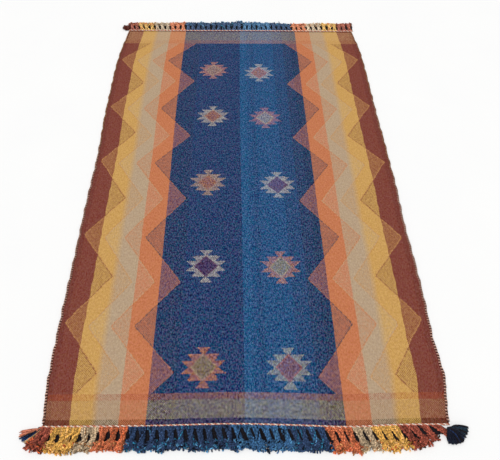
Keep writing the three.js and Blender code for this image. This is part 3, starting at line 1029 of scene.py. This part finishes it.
# Strands leave the knot in a tight neck and spread by their share of the fan, arched and then lying down
def makeTassel(tassel, material):
    count = tassel["strands"]
    t = np.linspace(0, 1, strand["steps"])
    share = np.linspace(-1, 1, count) + chance.normal(0, strand["shareJitter"], count)
    angle = np.radians(tassel["heading"] + share * tassel["spread"])
    middle = math.radians(tassel["heading"])
    axis = np.array([math.cos(middle), math.sin(middle), 0])
    side = np.array([-math.sin(middle), math.cos(middle), 0])
    way = np.stack([np.cos(angle), np.sin(angle), 0 * angle], -1)
    length = tassel["length"] * mm * chance.uniform(*strand["cut"], count)
    length = length * np.interp(share, [-1, 0, 1], tassel["lengths"])
    layer = chance.uniform(0, 1, count)
    neck = softStep(t, 0.0, strand["turnBy"])
    root = np.array([tassel["x"], tassel["y"], 0]) * mm
    forward = (length[:, None] * t)[:, :, None]
    path = root + forward * ((1 - neck)[:, None] * axis + neck[:, None] * way[:, None])
    aside = softStep(t, 0.0, strand["spreadBy"]) * tassel["neck"] * mm * share[:, None]
    path = path + aside[:, :, None] * side
    wave = chance.normal(0, strand["wave"] * mm, (count, 1))
    wave = wave * np.sin(strand["waveTurn"] * t + chance.uniform(0, strand["waveStart"], (count, 1)))
    path = path + wave[:, :, None] * side
    arch = layer[:, None] * tassel["crown"] * np.interp(t, strand["archAt"], strand["arch"])
    path[:, :, 2] = (strand["base"] + arch) * mm
    kinds = len(tassel["dyes"])
    picks = ((share + 1) / 2 * kinds + chance.normal(0, tassel["mixed"], count)).astype(int)
    names = [tassel["dyes"][pick] for pick in np.clip(picks, 0, kinds - 1)]
    radius = tassel["yarn"] * mm * np.interp(t, strand["taperAt"], strand["taper"])
    parts = [tubes(path, radius, dyed(names, strand["dyeSpread"]), sides=4)]
    # A few turns of yarn bind the neck, as a helix about the axis
    turn = np.linspace(0, 2 * math.pi * binding["turns"], binding["steps"])
    ring = (
        root + (binding["from"] + binding["pitch"] * turn / (2 * math.pi))[:, None] * mm * axis
        + (binding["half"] * np.cos(turn))[:, None] * mm * side
        + (binding["middle"] + binding["rise"] * np.sin(turn))[:, None] * mm * upright
    )
    knotDye = dyed([tassel["dyes"][0]], binding["dyeSpread"])
    parts.append(tubes(ring[None], binding["yarn"] * mm, knotDye, sides=6))
    piece = makeYarnPiece(tassel["name"], parts, material)
    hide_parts(tassel["node"])
    return piece


camera = {
    "place": (-0.0243, -1.457, 1.5158),
    "pitch": 52.562, "yaw": -2.253, "roll": -1.531,  # degrees down, about Z, about the line of sight
    "focal": 520, "frameWidth": 500,  # pixels
    "sensor": 36,
}


# Camera where the photographer stood: focal length and turns fitted to the rug's outline
def makeCamera():
    pitch, yaw, roll = (math.radians(camera[key]) for key in ("pitch", "yaw", "roll"))
    ahead = np.array([0, math.cos(pitch), -math.sin(pitch)])
    level = np.array([1.0, 0, 0])
    over = np.array([0, math.sin(pitch), math.cos(pitch)])
    right = math.cos(roll) * level - math.sin(roll) * over
    up = math.sin(roll) * level + math.cos(roll) * over
    spin = np.array([[math.cos(yaw), -math.sin(yaw), 0], [math.sin(yaw), math.cos(yaw), 0], [0, 0, 1]])
    lens = bpy.data.cameras.new("camera")
    lens.sensor_width = camera["sensor"]
    lens.sensor_fit = "HORIZONTAL"
    lens.lens = camera["focal"] * camera["sensor"] / camera["frameWidth"]
    matrix = np.eye(4)
    matrix[:3, :3] = spin @ np.stack([right, up, -ahead], 1)
    matrix[:3, 3] = camera["place"]
    viewer = placed("camera", lens)
    viewer.matrix_world = Matrix(matrix.tolist())
    bpy.context.scene.camera = viewer


stage = {
    "floor": 0.89, "floorTint": (1.03, 1.03, 1.02), "floorHalf": 8, "roughness": 0.9,
    "grain": 3, "grainDetail": 2,
    "sunTurn": (10, -22, 0), "sunStrength": 1.85, "sunSpread": 24,
    "world": 0.55,
}


# Stage: a pale floor, a broad soft light high on the left, and even light all round
def makeStage():
    half = stage["floorHalf"]
    mesh = bpy.data.meshes.new("floor")
    corners = [(-half, -half, 0), (half, -half, 0), (half, half, 0), (-half, half, 0)]
    mesh.from_pydata(corners, [], [(0, 1, 2, 3)])
    material, tree, shader = newMaterial("paleFloor", stage["roughness"], 0)
    place = addNode("TexCoord", {}, tree).outputs["Object"]
    grain = noise(place, stage["grain"], "3D", stage["grainDetail"])["Fac"]
    tone = stage["floor"]
    tinted = (*(tone * share for share in stage["floorTint"]), 1)
    plug(shader.inputs["Base Color"], blended(grain, (tone, tone, tone, 1), tinted))
    mesh.materials.append(material)
    placed("floor", mesh)
    light = bpy.data.lights.new("softKey", "SUN")
    light.energy = stage["sunStrength"]
    light.angle = math.radians(stage["sunSpread"])
    lamp = placed("softKey", light)
    lamp.rotation_euler = [math.radians(turn) for turn in stage["sunTurn"]]
    world = bpy.data.worlds.new("studio")
    world.use_nodes = True
    evenLight = world.node_tree.nodes["Background"].inputs
    evenLight["Color"].default_value = (1, 1, 1, 1)
    evenLight["Strength"].default_value = stage["world"]
    bpy.context.scene.world = world
    bpy.context.scene.view_settings.view_transform = "Standard"


makeCamera()
makeStage()
print("camera and stage are set")

rug = makeCloth(weaveMaterial())
cordYarn = yarnMaterial("cordYarn", plies=2, slant=0.35, depth=0.5)
fringeYarn = yarnMaterial("fringeYarn", plies=3, slant=0.3, depth=0.8)
tasselYarn = yarnMaterial("tasselYarn", plies=2, slant=0.25, depth=0.4)
stitchYarn = yarnMaterial("stitchYarn", plies=2, slant=0.3, depth=0.4)
print("cloth is woven and yarns are spun")

trim = [makeEdgeStitches(stitchYarn)]
trim.append(makeEndCord("endCordNear", "near", "end_cord_near", cordYarn))
trim.append(makeEndCord("endCordFar", "far", "end_cord_far", cordYarn))
trim += makeFringe(nearFringe, fringeYarn)
trim += makeFringe(farFringe, fringeYarn)
trim += [makeTassel(tassel, tasselYarn) for tassel in tassels]
print("edges, cords, fringes and tassels are made")
